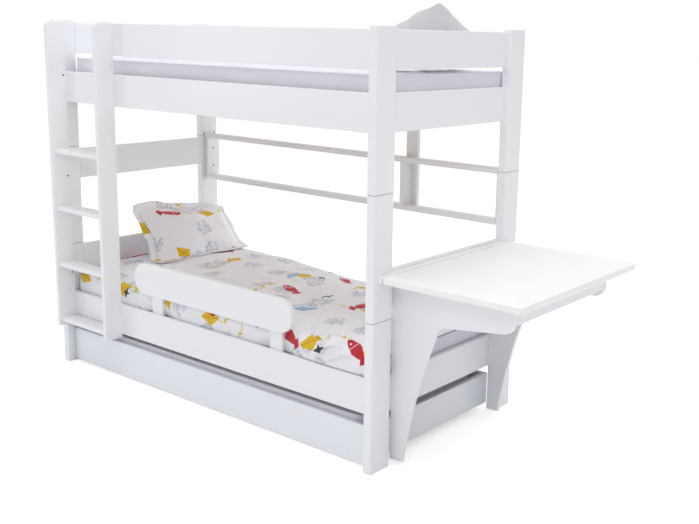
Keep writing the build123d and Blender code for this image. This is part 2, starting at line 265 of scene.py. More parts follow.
def make_weave_group():
    """Plain woven cotton: warp and weft, slubs and a soft crumple."""
    tree, given, out = group(
        "woven_cotton",
        [("Place", "vector", None), ("Thread", "float", 0.0011), ("Crumple", "float", 0.6)],
        [("Height", "float"), ("Shade", "float")],
    )
    u, v, _ = parts_of(tree, given["Place"])
    turns = calc(tree, "DIVIDE", 2 * math.pi, given["Thread"])
    warp = calc(tree, "SINE", calc(tree, "MULTIPLY", u, turns))
    weft = calc(tree, "SINE", calc(tree, "MULTIPLY", v, turns))
    cross = calc(tree, "MULTIPLY", warp, weft)
    slub = speckle(tree, stretched(tree, given["Place"], (30, 260, 1)), 1, 3)
    folds = {"Vector": given["Place"], "Scale": 13.0, "Detail": 4.0, "Distortion": 1.1}
    creases = add(tree, "ShaderNodeTexNoise", folds, noise_type="RIDGED_MULTIFRACTAL").outputs["Fac"]
    crumple = calc(tree, "MULTIPLY", creases, given["Crumple"])
    thread = calc(tree, "MULTIPLY_ADD", cross, 0.05, calc(tree, "MULTIPLY", slub, 0.08))
    tree.links.new(calc(tree, "ADD", thread, crumple), out["Height"])
    tree.links.new(calc(tree, "MULTIPLY_ADD", slub, 0.5, calc(tree, "MULTIPLY", cross, 0.12)), out["Shade"])
    return tree


def make_cell_group():
    """Scattered places for a printed motif: where a point lies within its own cell, and two random values."""
    tree, given, out = group(
        "motif_places",
        [
            ("Place", "vector", None), ("Count", "float", 2.0), ("Shift", "vector", None),
            ("Scatter", "float", 0.7),
        ],
        [("Across", "float"), ("Along", "float"), ("Chance", "float"), ("Choice", "float")],
    )
    flat = arrow(tree, "ADD", given["Place"], given["Shift"])
    spread = {"Vector": flat, "Scale": given["Count"], "Randomness": given["Scatter"]}
    cell = add(tree, "ShaderNodeTexVoronoi", spread, voronoi_dimensions="2D").outputs
    red, green, blue = add(tree, "ShaderNodeSeparateColor", {0: cell["Color"]}).outputs
    local = arrow(tree, "SUBTRACT", flat, cell["Position"])
    turning = {"Vector": local, "Angle": calc(tree, "MULTIPLY", red, 2 * math.pi)}
    x, y, _ = parts_of(tree, add(tree, "ShaderNodeVectorRotate", turning, rotation_type="Z_AXIS").outputs[0])
    for label, value in (("Across", x), ("Along", y), ("Chance", green), ("Choice", blue)):
        tree.links.new(value, out[label])
    return tree


def inside(tree, value, limit, soft=0.0016):
    """A mask of where a value is under a limit, with a thin soft edge."""
    low = calc(tree, "SUBTRACT", limit, soft) if isinstance(limit, bpy.types.NodeSocket) else limit - soft
    high = calc(tree, "ADD", limit, soft) if isinstance(limit, bpy.types.NodeSocket) else limit + soft
    return calc(tree, "SUBTRACT", 1, step_up(tree, value, low, high))


def patch(tree, x, y, middle, half):
    """A mask of a plain rectangle."""
    dx = calc(tree, "ABSOLUTE", calc(tree, "SUBTRACT", x, middle[0]))
    dy = calc(tree, "ABSOLUTE", calc(tree, "SUBTRACT", y, middle[1]))
    return calc(tree, "MULTIPLY", inside(tree, dx, half[0]), inside(tree, dy, half[1]))


def diamond(tree, x, y, middle, half):
    """A mask of a diamond."""
    dx = calc(tree, "DIVIDE", calc(tree, "ABSOLUTE", calc(tree, "SUBTRACT", x, middle[0])), half[0])
    dy = calc(tree, "DIVIDE", calc(tree, "ABSOLUTE", calc(tree, "SUBTRACT", y, middle[1])), half[1])
    return inside(tree, calc(tree, "ADD", dx, dy), 1, 0.04)


def oval(tree, x, y, middle, half):
    """A mask of an oval."""
    dx = calc(tree, "DIVIDE", calc(tree, "SUBTRACT", x, middle[0]), half[0])
    dy = calc(tree, "DIVIDE", calc(tree, "SUBTRACT", y, middle[1]), half[1])
    across = calc(tree, "ADD", calc(tree, "MULTIPLY", dx, dx), calc(tree, "MULTIPLY", dy, dy))
    return inside(tree, across, 1, 0.06)


def either(tree, *masks):
    """The masks laid over one another."""
    found = masks[0]
    for mask in masks[1:]:
        found = calc(tree, "MAXIMUM", found, mask)
    return found


def both(tree, *masks):
    """Where all the masks are."""
    found = masks[0]
    for mask in masks[1:]:
        found = calc(tree, "MULTIPLY", found, mask)
    return found


def washed_patch(tree, x, y, choice, spot):
    """A smudged block of upright strokes in a pale grey."""
    blocks = (((0, 0), (0.052, 0.030)), ((-0.018, 0.03), (0.016, 0.03)), ((0.03, 0.024), (0.013, 0.034)))
    block = either(tree, *(patch(tree, x, y, middle, half) for middle, half in blocks))
    blot = speckle(tree, spot, 34, 3.0)
    ragged = calc(tree, "MULTIPLY_ADD", blot, 0.03, -0.015)
    strokes = calc(tree, "SINE", calc(tree, "MULTIPLY", calc(tree, "ADD", x, ragged), 300))
    depth = calc(tree, "MULTIPLY_ADD", step_up(tree, strokes, -0.7, 0.5), 0.55, 0.3)
    mask = both(tree, block, depth, step_up(tree, blot, 0.2, 0.62))
    return mask, between(tree, choice, tone(PRINT_WASH), tone(PRINT_HAZE))


def kite(tree, x, y, choice, spot):
    """A kite with two ribs, on a swaying string with two bows."""
    sail = diamond(tree, x, y, (0, 0.050), (0.040, 0.062))
    upright_rib = patch(tree, x, y, (0, 0.050), (0.0022, 0.06))
    cross_rib = patch(tree, x, y, (0, 0.058), (0.04, 0.0022))
    sway = calc(tree, "MULTIPLY", calc(tree, "SINE", calc(tree, "MULTIPLY", y, 58)), 0.012)
    swayed = calc(tree, "SUBTRACT", x, sway)
    string = patch(tree, swayed, y, (0, -0.085), (0.0026, 0.075))
    bows = [diamond(tree, swayed, y, (0, low), (0.018, 0.008)) for low in (-0.05, -0.11)]
    ink = between(tree, either(tree, upright_rib, cross_rib), tone(PRINT_YELLOW), tone(KITE_RIB))
    return either(tree, sail, string, *bows), ink


def fish(tree, x, y, choice, spot):
    """A red fish with a pale eye and gill."""
    body = oval(tree, x, y, (0, 0), (0.062, 0.026))
    tail = diamond(tree, x, y, (-0.070, 0), (0.022, 0.032))
    eye = oval(tree, x, y, (0.038, 0.006), (0.005, 0.005))
    gill = both(tree, inside(tree, calc(tree, "ABSOLUTE", calc(tree, "SUBTRACT", x, 0.018)), 0.0022), body)
    return either(tree, body, tail), between(tree, either(tree, eye, gill), tone(PRINT_RED), tone(FISH_LINE))


def leaf(tree, x, y, choice, spot):
    """A pointed blue leaf with a pale vein."""
    blade = both(tree, *(oval(tree, x, y, (side * 0.022, 0), (0.046, 0.068)) for side in (1, -1)))
    vein = both(tree, inside(tree, calc(tree, "ABSOLUTE", x), 0.0024), blade)
    blue = between(tree, choice, tone(PRINT_BLUE), tone(PRINT_SKY))
    return blade, between(tree, vein, blue, tone(LEAF_VEIN))


def seed_cross(tree, x, y, choice, spot):
    """Two small crossed seeds, dark or lime."""
    cross = either(tree, *(oval(tree, x, y, (0, 0), half) for half in ((0.030, 0.007), (0.007, 0.020))))
    dark = calc(tree, "LESS_THAN", choice, 0.5)
    return cross, between(tree, dark, tone(PRINT_DARK), tone(PRINT_LIME))


def make_print_group():
    """A playful print of kites, fish, leaves and washed patches, strewn over white cotton."""
    tree, given, out = group("strewn_print", [("Place", "vector", None)], [("Colour", "colour")])
    cells = make_cell_group()
    motifs = (
        (washed_patch, 5.4, (3.1, 7.7, 0), 0.9, 0.72),
        (kite, 3.1, (11.3, 2.9, 0), 0.7, 0.8),
        (fish, 2.6, (5.9, 14.2, 0), 0.7, 0.5),
        (leaf, 2.7, (1.7, 9.4, 0), 0.7, 0.42),
        (seed_cross, 4.3, (8.8, 4.6, 0), 1.0, 0.26),
    )
    colour = tone(PRINT_GROUND)
    for motif, count, shift, scatter, share in motifs:
        found = use(tree, cells, Place=given["Place"], Count=count, Shift=shift, Scatter=scatter)
        mask, ink = motif(tree, found["Across"], found["Along"], found["Choice"], given["Place"])
        printed = both(tree, mask, calc(tree, "LESS_THAN", found["Chance"], share))
        colour = between(tree, printed, colour, ink)
    tree.links.new(colour, out["Colour"])
    return tree


def make_wood_group():
    """Planed softwood: growth rings drawn out along the board, with pores."""
    tree, given, out = group(
        "planed_wood",
        [
            ("Place", "vector", None), ("Pale", "colour", (1, 1, 1, 1)), ("Dark", "colour", (0, 0, 0, 1)),
            ("Stretch", "vector", None),
        ],
        [("Colour", "colour"), ("Height", "float")],
    )
    spot = arrow(tree, "MULTIPLY", given["Place"], given["Stretch"])
    bend = speckle(tree, spot, 1.0, 3)
    rings = calc(tree, "SINE", calc(tree, "MULTIPLY", bend, 46))
    pores = speckle(tree, spot, 9, 5, 0.7)
    share = calc(tree, "MULTIPLY_ADD", rings, 0.28, calc(tree, "MULTIPLY", pores, 0.7), clamp=True)
    tree.links.new(between(tree, share, given["Pale"], given["Dark"]), out["Colour"])
    tree.links.new(calc(tree, "MULTIPLY_ADD", rings, 0.4, pores), out["Height"])
    return tree


def material(name):
    """A new material: its tree, its Principled shader and its object coordinates."""
    made = bpy.data.materials.new(name)
    made.use_nodes = True
    tree = made.node_tree
    shader = tree.nodes["Principled BSDF"]
    spot = add(tree, "ShaderNodeTexCoord").outputs["Object"]
    return made, tree, shader, spot


def rough_up(tree, shader, height, strength, distance):
    """A bump from a height on a shader."""
    bump = add(tree, "ShaderNodeBump", {"Strength": strength, "Distance": distance, "Height": height})
    tree.links.new(bump.outputs[0], shader.inputs["Normal"])


def lacquer(name, lacquered, colour, gloss, scuffs, joints=(), axis=2):
    """White lacquer on board, with a fine dark line where pieces meet; axis is the one its places lie on."""
    made, tree, shader, spot = material(name)
    paint = use(tree, lacquered, Place=spot, Tint=tone(colour), Gloss=gloss, Scuffs=scuffs)
    colour_out = paint["Colour"]
    height = paint["Height"]
    for level in joints:
        off = calc(tree, "ABSOLUTE", calc(tree, "SUBTRACT", parts_of(tree, spot)[axis], level * MM))
        line = calc(tree, "SUBTRACT", 1, step_up(tree, off, 0.0006, 0.0022))
        colour_out = between(tree, calc(tree, "MULTIPLY", line, 0.75), colour_out, (0.16, 0.15, 0.15, 1))
        height = calc(tree, "MULTIPLY_ADD", line, -6, height)
    tree.links.new(colour_out, shader.inputs["Base Color"])
    tree.links.new(paint["Roughness"], shader.inputs["Roughness"])
    shader.inputs["Coat Weight"].default_value = 0.25
    shader.inputs["Coat Roughness"].default_value = 0.22
    rough_up(tree, shader, height, 0.06, 0.0008)
    return made


def cotton(name, weave, colour, crumple, printed=None):
    """Cotton cloth on the piece's own cloth coordinates, plain or printed."""
    made, tree, shader, spot = material(name)
    cloth = add(tree, "ShaderNodeAttribute", attribute_name="cloth").outputs["Vector"]
    thread = use(tree, weave, Place=cloth, Crumple=crumple)
    if printed is None:
        base = between(tree, speckle(tree, spot, 5, 3), tone(colour), tone([c - 7 for c in colour]))
    else:
        base = use(tree, printed, Place=cloth)["Colour"]
    shade = calc(tree, "MULTIPLY", thread["Shade"], 0.10, clamp=True)
    tree.links.new(between(tree, shade, base, (0.45, 0.45, 0.52, 1)), shader.inputs["Base Color"])
    tree.links.new(calc(tree, "MULTIPLY_ADD", thread["Shade"], 0.08, 0.82), shader.inputs["Roughness"])
    shader.inputs["Sheen Weight"].default_value = 0.18
    shader.inputs["Sheen Roughness"].default_value = 0.5
    shader.inputs["Specular IOR Level"].default_value = 0.3
    rough_up(tree, shader, thread["Height"], 0.5, 0.004)
    return made


def wood(name, planed, pale, dark, stretch):
    """Bare planed wood."""
    made, tree, shader, spot = material(name)
    grain = use(tree, planed, Place=spot, Pale=tone(pale), Dark=tone(dark), Stretch=stretch)
    tree.links.new(grain["Colour"], shader.inputs["Base Color"])
    tree.links.new(calc(tree, "MULTIPLY_ADD", grain["Height"], 0.1, 0.5), shader.inputs["Roughness"])
    rough_up(tree, shader, grain["Height"], 0.25, 0.0006)
    return made


def fibreboard(name):
    """Plain pressed fibreboard."""
    made, tree, shader, spot = material(name)
    flecks = speckle(tree, spot, 260, 4, 0.7)
    flecked = between(tree, flecks, tone((214, 207, 196)), tone((192, 180, 164)))
    tree.links.new(flecked, shader.inputs["Base Color"])
    shader.inputs["Roughness"].default_value = 0.75
    rough_up(tree, shader, flecks, 0.3, 0.0004)
    return made


def plated_steel(name, colour, rough):
    """Zinc plated pressed steel with fine rolling lines."""
    made, tree, shader, spot = material(name)
    lines = speckle(tree, stretched(tree, spot, (1, 14, 1)), 190, 4)
    bloom = speckle(tree, spot, 60, 3)
    bloomed = between(tree, bloom, tone(colour), tone([c - 26 for c in colour]))
    tree.links.new(bloomed, shader.inputs["Base Color"])
    tree.links.new(calc(tree, "MULTIPLY_ADD", lines, 0.25, rough), shader.inputs["Roughness"])
    shader.inputs["Metallic"].default_value = 1
    rough_up(tree, shader, lines, 0.15, 0.0003)
    return made


def moulded(name, colour):
    """Moulded wheel plastic with dust on it."""
    made, tree, shader, spot = material(name)
    dust = step_up(tree, speckle(tree, spot, 90, 5, 0.7), 0.45, 0.8)
    dusty = between(tree, calc(tree, "MULTIPLY", dust, 0.3), tone(colour), tone((120, 116, 110)))
    tree.links.new(dusty, shader.inputs["Base Color"])
    tree.links.new(calc(tree, "MULTIPLY_ADD", dust, 0.3, 0.5), shader.inputs["Roughness"])
    rough_up(tree, shader, dust, 0.2, 0.0003)
    return made


def make_materials():
    """Every finish of the bed, by its slot's name."""
    lacquered = make_lacquer_group()
    weave = make_weave_group()
    planed = make_wood_group()
    printed = make_print_group()
    strip_seam = (DESK_STRIP - CENTRE_X,)
    return {
        "post_white": lacquer("post_white", lacquered, PAINT_WHITE, 0.34, 0.8, (622, 1122)),
        "board_white": lacquer("board_white", lacquered, PAINT_WHITE, 0.36, 0.3),
        "ladder_white": lacquer("ladder_white", lacquered, PAINT_WHITE, 0.36, 0.9),
        "shelf_white": lacquer("shelf_white", lacquered, (240, 240, 242), 0.36, 0.2),
        "desk_white": lacquer("desk_white", lacquered, PAINT_WHITE, 0.38, 0.9),
        "desk_top_white": lacquer("desk_top_white", lacquered, DESK_WHITE, 0.3, 0.0, strip_seam, 0),
        "pull_white": lacquer("pull_white", lacquered, (236, 239, 246), 0.32, 1.0),
        "base_panel": fibreboard("base_panel"),
        "beech": wood("beech", planed, (214, 178, 132), (176, 134, 90), (60, 60, 6)),
        "pine": wood("pine", planed, (230, 204, 160), (196, 156, 104), (26, 2.2, 26)),
        "steel": plated_steel("steel", (186, 190, 196), 0.3),
        "wheel_black": moulded("wheel_black", (34, 34, 38)),
        "mattress_cover": cotton("mattress_cover", weave, MATTRESS_TICK, 0.25),
        "fitted_sheet": cotton("fitted_sheet", weave, SHEET_WHITE, 0.5),
        "printed_cotton": cotton("printed_cotton", weave, PRINT_GROUND, 0.7, printed),
        "printed_cotton_pillow": cotton("printed_cotton_pillow", weave, PRINT_GROUND, 0.5, printed),
        "grey_cotton": cotton("grey_cotton", weave, PILLOW_GREY, 0.5),
        "screw_dark": plated_steel("screw_dark", (74, 72, 74), 0.4),
    }


# Soft pieces


def plain_mesh(name, points, faces, marks=None):
    """A mesh from points and faces; marks are named vectors, one for each point."""
    mesh = bpy.data.meshes.new(name)
    mesh.from_pydata([tuple(p) for p in points], [], faces)
    for label, vectors in (marks or {}).items():
        layer = mesh.attributes.new(label, "FLOAT_VECTOR", "POINT")
        layer.data.foreach_set("vector", np.asarray(vectors, dtype=np.float32).ravel())
    return mesh


def set_out(name, data):
    """A new object in the scene."""
    made = bpy.data.objects.new(name, data)
    bpy.context.scene.collection.objects.link(made)
    return made


def taken_in(worked):
    """The mesh of an object with its modifiers taken in; the object itself goes."""
    graph = bpy.context.evaluated_depsgraph_get()
    done = bpy.data.meshes.new_from_object(worked.evaluated_get(graph), depsgraph=graph)
    bpy.data.objects.remove(worked)
    return done


def piece(name, points, faces, cloth, paint, body):
    """A finished soft piece: its mesh, its cloth coordinates in metres, its finish and its body."""
    mesh = plain_mesh(name, points, faces, {"cloth": cloth})
    mesh.update()
    mesh.polygons.foreach_set("use_smooth", [True] * len(mesh.polygons))
    mesh.materials.append(paint)
    made = set_out(name, mesh)
    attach(made, body)
    return made


def round_trip(nx, ny):
    """The border places of a grid, once round from its first corner."""
    trip = [(i, 0) for i in range(nx)] + [(nx, j) for j in range(ny)]
    return trip + [(i, ny) for i in range(nx, 0, -1)] + [(0, j) for j in range(ny, 0, -1)]


def outward(loop, k, centre):
    """The direction across a loop that leads away from its centre at one of its points."""
    along = loop[(k + 1) % len(loop)] - loop[k - 1]
    away = Vector((along.y, -along.x, 0)).normalized()
    return -away if away.dot(loop[k] - centre) < 0 else away


def corner_map(s, t):
    """Takes a unit square to a quarter disc, so that a plan gets a round corner."""
    reach = max(s, t)
    if reach == 0:
        return 0.0, 0.0
    turn = math.pi / 4 * (t / s) if s >= t else math.pi / 2 - math.pi / 4 * (s / t)
    return reach * math.cos(turn), reach * math.sin(turn)


def plan_point(x, y, half_x, half_y, corner):
    """A point of a rectangle moved into the same rectangle with round corners."""
    over_x = (abs(x) - (half_x - corner)) / corner
    over_y = (abs(y) - (half_y - corner)) / corner
    if over_x <= 0 or over_y <= 0:
        return x, y
    s, t = corner_map(over_x, over_y)
    return (
        math.copysign(half_x - corner + s * corner, x),
        math.copysign(half_y - corner + t * corner, y),
    )


def side_profile(height, belly, bead):
    """How far a mattress's side stands out at each drop: taped rims with a soft belly between them."""
    tape = [(bead * 0.8, 1.0), (bead, 3.5), (bead * 0.4, 6), (0.6, 9)]
    seam = tape[-1][1]
    steps = 8
    bellied = []
    for k in range(1, steps):
        share = k / steps
        bellied.append((belly * math.sin(math.pi * share), seam + share * (height - 2 * seam)))
    return tape + bellied + [(out, height - drop) for out, drop in reversed(tape)]


def slab(x_range, y_range, z_range, crease, seed):
    """A boxed mattress: crowned top, tape edges at both rims and sides that belly out a little."""
    (x0, x1), (y0, y1), (z0, z1) = x_range, y_range, z_range
    belly, bead, crown, corner, cell = 4, 3, 4, 60, 25
    mid_x, mid_y = (x0 + x1) / 2, (y0 + y1) / 2
    half_x, half_y = (x1 - x0) / 2 - belly, (y1 - y0) / 2 - belly
    nx, ny = round(2 * half_x / cell), round(2 * half_y / cell)
    points, cloth, faces = [], [], []

    def grid(top):
        start = len(points)
        for i in range(nx + 1):
            for j in range(ny + 1):
                across, along = (2 * i / nx - 1) * half_x, (2 * j / ny - 1) * half_y
                x, y = plan_point(across, along, half_x, half_y, corner)
                rim = min(half_x - abs(x), half_y - abs(y))
                wave = noise.noise(Vector((x * 0.004, y * 0.006, seed))) * 4
                fold = noise.noise(Vector((x * 0.011 + y * 0.02, (y - x * 0.3) * 0.006, seed + 9)))
                rise = (wave + crease * fold) * smooth(rim, 0, 60) + crown * smooth(rim, 0, 120) - crown
                points.append(place(mid_x + x, mid_y + y, z1 - bead + rise if top else z0))
                cloth.append((x * MM, y * MM, 0))
        return start

    def at(start, i, j):
        return start + i * (ny + 1) + j

    top = grid(True)
    low = grid(False)
    for i in range(nx):
        for j in range(ny):
            faces.append((at(top, i, j), at(top, i + 1, j), at(top, i + 1, j + 1), at(top, i, j + 1)))
            faces.append((at(low, i, j), at(low, i, j + 1), at(low, i + 1, j + 1), at(low, i + 1, j)))
    border = round_trip(nx, ny)
    count = len(border)
    ring = [points[at(top, i, j)] for i, j in border]
    centre = place(mid_x, mid_y, z1)
    away = [outward(ring, k, centre) for k in range(count)]
    lengths = [0.0]
    for a, b in zip(ring, ring[1:]):
        lengths.append(lengths[-1] + (b - a).length)
    height = z1 - bead - crown - z0
    rows = [[at(top, i, j) for i, j in border]]
    for out, drop in side_profile(height, belly, bead):
        rows.append(list(range(len(points), len(points) + count)))
        share = math.sin(math.pi * min(max(drop / height, 0), 1))
        for base, way, length in zip(ring, away, lengths):
            ripple = noise.noise(Vector((length * 9, drop * 0.02, seed + 3))) * crease * 0.5
            slack = noise.noise(Vector((length * 4 + drop * 0.02, drop * 0.01, seed + 5))) * crease * 0.4
            push = min(out + (ripple + slack) * share, belly + 1) * MM
            z = (z1 - bead - crown - drop) * MM
            points.append(Vector((base.x + way.x * push, base.y + way.y * push, z)))
            cloth.append((length, drop * MM, 0))
    rows.append([at(low, i, j) for i, j in border])
    for upper, lower in zip(rows, rows[1:]):
        for k in range(count):
            n = (k + 1) % count
            faces.append((upper[k], lower[k], lower[n], upper[n]))
    return points, faces, cloth


def path_of(corners, rounds, count):
    """A smooth path through corners, cut into equal steps; rounds is how often its corners are cut."""
    line = [Vector(c) for c in corners]
    for _ in range(rounds):
        cut = [line[0]]
        for a, b in zip(line, line[1:]):
            cut += [a.lerp(b, 0.25), a.lerp(b, 0.75)]
        line = cut + [line[-1]]
    lengths = [0.0]
    for a, b in zip(line, line[1:]):
        lengths.append(lengths[-1] + (b - a).length)
    steps = np.linspace(0, lengths[-1], count)
    ys = np.interp(steps, lengths, [p.x for p in line])
    zs = np.interp(steps, lengths, [p.y for p in line])
    return ys, zs, steps


def duvet_paths(x):
    """The duvet cut across at x: its outer side from the hem to the back, and its inner side back again."""
    along = (x - DUVET_LEFT) / (DUVET_RIGHT - DUVET_LEFT)
    spill = smooth(x, SPILL_FROM - 10, SPILL_FROM + SPILL_OVER + 30)
    lump = math.sin(5 * math.pi * along)
    under = MATTRESS_TOP + 1.5
    inner = 82.5
    tucked = 82 - 15 * min(smooth(abs(x - u), 44, 130) for u in GUARD_UPRIGHTS)
    front = tucked + spill * (47 - 5 * lump - tucked)
    shoulder = 480 + 4 * lump + 8 * spill
    low = 368 + 10.5 * spill
    back_top = 496 - 34 * smooth(x, 600, 1200)
    outer = [
        (front + 10 * spill, low), (front + 1, low + 10), (front - 2, 425), (front + 3, shoulder - 20),
        (front + 34, shoulder + 3), (150 - 30 * spill, shoulder + 8), (320, 500 + 6 * lump),
        (520, 506 + 6 * lump), (740, 503 + 3 * lump), (900, back_top + 6), (966, back_top + 1),
        (DUVET_BACK, back_top - 14), (DUVET_BACK, under),
    ]
    back = [(DUVET_BACK, under), (700, under), (inner + 60, under), (inner + 4, under), (inner + 1, 430)]
    hem = [(inner, low + 6), (front + 16, low + 1)] if spill > 0.5 else [(inner, low + 2)]
    return outer, back + hem, spill


def duvet_wrinkle(x, run, spill):
    """How far the cover stands off at a place, in millimetres; run is the way along it from the hem."""
    slack = noise.noise(Vector((x * 0.0042, run * 0.0050, 1.7))) * 7
    drape = noise.noise(Vector((x * 0.011 - run * 0.004, run * 0.012 + x * 0.003, 4.4))) * 6
    line = noise.noise(Vector(((x + run * 0.6) * 0.007, (run - x * 0.25) * 0.03, 8.1)))
    crease = -max(0.0, 1 - abs(line) * 6) * 3.6
    radius = math.hypot(x - GATHER[0], run - GATHER[1])
    turn = math.atan2(run - GATHER[1], x - GATHER[0])
    fan = math.sin(turn * 8 + 1.5 * noise.noise(Vector((x * 0.012, run * 0.012, 2))))
    ridge = (1 - abs(fan)) ** 2 * 30 - 9
    gathered = ridge * spill * smooth(radius, 10, 80) * (1 - smooth(radius, 120, 300))
    return slack + drape + crease + gathered


def duvet_ring(x):
    """Points and cloth places once round the duvet at x: the creased outer side, then the inner side."""
    outer_count, inner_count = 116, 22
    outer, back, spill = duvet_paths(x)
    ys, zs, runs = path_of(outer, 3, outer_count)
    end = min(x - DUVET_LEFT, DUVET_RIGHT - x)
    tuck = 1 - math.sqrt(max(0.0, 1 - (1 - min(end / 34, 1)) ** 2))
    at_upright = min(abs(x - u) for u in GUARD_UPRIGHTS) < 42
    points, cloth = [], []
    for k in range(outer_count):
        a, b = max(k - 1, 0), min(k + 1, outer_count - 1)
        along = Vector((ys[b] - ys[a], zs[b] - zs[a])).normalized()
        edge = smooth(k, 0, 8) * smooth(outer_count - 1 - k, 0, 10)
        under_pillow = smooth(ys[k], 360, 420) * (1 - smooth(x, 330, 420))
        off = duvet_wrinkle(x, runs[k], spill) * edge * (1 - 0.85 * under_pillow) - tuck * 16
        y, z = ys[k] - along.y * off, zs[k] + along.x * off
        if x < SPILL_FROM + 60:
            y = max(y, UPRIGHT_CLEAR if at_upright else GUARD_CLEAR)
        if under_pillow > 0:
            z = min(z, DUVET_TOP - 1.5)
        y = max(y, 44 - 14 * smooth(z, 384, 410))
        floor = OVER_RAIL if y < 63 else BEHIND_RAIL
        points.append(place(x, min(y, DUVET_BACK + 0.5), max(z, floor)))
        cloth.append((x * MM, runs[k] * MM, 0))
    ys, zs, back_runs = path_of(back, 1, inner_count)
    for k in range(1, inner_count):
        points.append(place(x, ys[k], zs[k]))
        cloth.append((x * MM, (runs[-1] + back_runs[k]) * MM, 0))
    return points, cloth


def make_duvet(paint):
    """The printed duvet: tucked behind the guard at the left and spilling over the rail at the right."""
    count = round((DUVET_RIGHT - DUVET_LEFT) / DUVET_CELL)
    points, cloth, faces = [], [], []
    for i in range(count + 1):
        ring, places = duvet_ring(DUVET_LEFT + 1 + (DUVET_RIGHT - DUVET_LEFT - 2) * i / count)
        points += ring
        cloth += places
    size = len(ring)
    for i in range(count):
        for k in range(size):
            n = (k + 1) % size
            a, b = i * size, (i + 1) * size
            faces.append((a + k, a + n, b + n, b + k))
    faces.append(tuple(range(size)))
    faces.append(tuple(count * size + k for k in reversed(range(size))))
    made = piece(
        "duvet_printed", points, faces, cloth, paint["printed_cotton"], "bed_frame",
    )
    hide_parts("duvet")


def sewn_grid(width, height, cell, puff):
    """Two layers joined round their edge, a little apart: points, faces, flat places and the edge."""
    nu, nv = round(width / cell), round(height / cell)
    points, flat, index = [], [], {}
    for side in (1, -1):
        for i in range(nu + 1):
            for j in range(nv + 1):
                rim = i in (0, nu) or j in (0, nv)
                if rim and side < 0:
                    continue
                u, v = (i / nu - 0.5) * width, (j / nv - 0.5) * height
                pu, pv = 2 * i / nu - 1, 2 * j / nv - 1
                rise = 0 if rim else puff * math.sqrt((1 - pu ** 2) * (1 - pv ** 2)) + 2
                rise *= 1 + 0.15 * noise.noise(Vector((u * 0.02, v * 0.02, side)))
                index[(side, i, j)] = len(points)
                points.append(Vector((u, v, side * rise)) * MM)
                flat.append((u * MM, v * MM, side))
    faces = []
    for side in (1, -1):
        for i in range(nu):
            for j in range(nv):
                quad = []
                for a, b in ((i, j), (i + 1, j), (i + 1, j + 1), (i, j + 1)):
                    quad.append(index.get((side, a, b), index[(1, a, b)]))
                faces.append(tuple(quad) if side > 0 else tuple(reversed(quad)))
    return points, faces, flat, [index[(1, i, j)] for i, j in round_trip(nu, nv)]


def blown_up(points, faces):
    """The cover's points after the filling has pushed it out, by cloth simulation."""
    cover = set_out("cover", plain_mesh("cover", points, faces))
    settings = cover.modifiers.new("cloth", "CLOTH").settings
    settings.quality = 6
    settings.mass = 0.25
    settings.tension_stiffness = 40
    settings.compression_stiffness = 12
    settings.shear_stiffness = 8
    settings.bending_stiffness = 0.6
    settings.use_pressure = True
    settings.uniform_pressure_force = PILLOW_PRESSURE
    settings.effector_weights.gravity = 0
    for number in range(1, PILLOW_FRAMES + 1):
        bpy.context.scene.frame_set(number)
    ready = cover.evaluated_get(bpy.context.evaluated_depsgraph_get())
    found = np.array([v.co for v in ready.data.vertices], float)
    bpy.context.scene.frame_set(1)
    bpy.data.objects.remove(cover)
    return found


def plump(points, faces, width, height, thick):
    """A blown-up cover, brought to its real width, height and thickness in millimetres."""
    found = blown_up(points, faces)
    middle = (found.max(0) + found.min(0)) / 2
    size = found.max(0) - found.min(0)
    swollen = (found - middle) / size
    start = np.array([tuple(p) for p in points], float)
    cut = start / (start.max(0) - start.min(0))
    swollen[:, :2] = swollen[:, :2] * DRAWN_IN + cut[:, :2] * (1 - DRAWN_IN)
    return swollen * np.array((width, height, thick))


def refined(points, faces, cloth):
    """One smooth subdivision of a mesh that carries cloth coordinates."""
    coarse = set_out("coarse", plain_mesh("coarse", points, faces, {"cloth": cloth}))
    finer = coarse.modifiers.new("finer", "SUBSURF")
    finer.levels = 1
    finer.render_levels = 1
    done = taken_in(coarse)
    return (
        [v.co.copy() for v in done.vertices],
        [tuple(p.vertices) for p in done.polygons],
        [tuple(d.vector) for d in done.attributes["cloth"].data],
    )


def flange(body, rim, reach, seed):
    """The flat border of a pillowcase, two thin layers that wave a little, out from the body's seam."""
    centre = Vector(body.mean(0))
    loop = [Vector(body[k]) for k in rim]
    count = len(loop)
    points, cloth, faces = [], [], []
    rows = 4
    for side in (1, -1):
        for row in range(rows + 1):
            share = row / rows
            for k in range(count):
                wave = math.sin(k * 0.33 + seed) * 6 + math.sin(k * 0.13 + 2 * seed) * 8
                lift = wave * share ** 1.5 + side * (1.1 if row < rows else 0.2)
                spot = loop[k] + outward(loop, k, centre) * (reach * share - 3)
                points.append(Vector((spot.x, spot.y, spot.z + lift)))
                cloth.append((spot.x * MM + 0.7, spot.y * MM, 0))
    layer = (rows + 1) * count
    for row in range(rows):
        for k in range(count):
            n = (k + 1) % count
            a, b = row * count, (row + 1) * count
            faces.append((a + k, b + k, b + n, a + n))
            faces.append((layer + a + k, layer + a + n, layer + b + n, layer + b + k))
    for k in range(count):
        n = (k + 1) % count
        last = rows * count
        faces.append((last + k, layer + last + k, layer + last + n, last + n))
        faces.append((k, n, layer + n, layer + k))
    return points, faces, cloth


def leant(point, centre, turn, tilt):
    """A pillow's point, tilted back by tilt from upright, turned and set at its centre."""
    matrix = Matrix.Rotation(math.radians(turn), 3, "Z") @ Matrix.Rotation(math.radians(90 - tilt), 3, "X")
    return matrix @ Vector(point) + Vector(centre)


def pressed(z, rest, rise, sink, power):
    """A height kept over a rest: what would sink in is squeezed into the first few millimetres above it."""
    if z >= rest + rise:
        return z
    return rest + max(0.0, (z - rest + sink) / (rise + sink)) ** power * rise


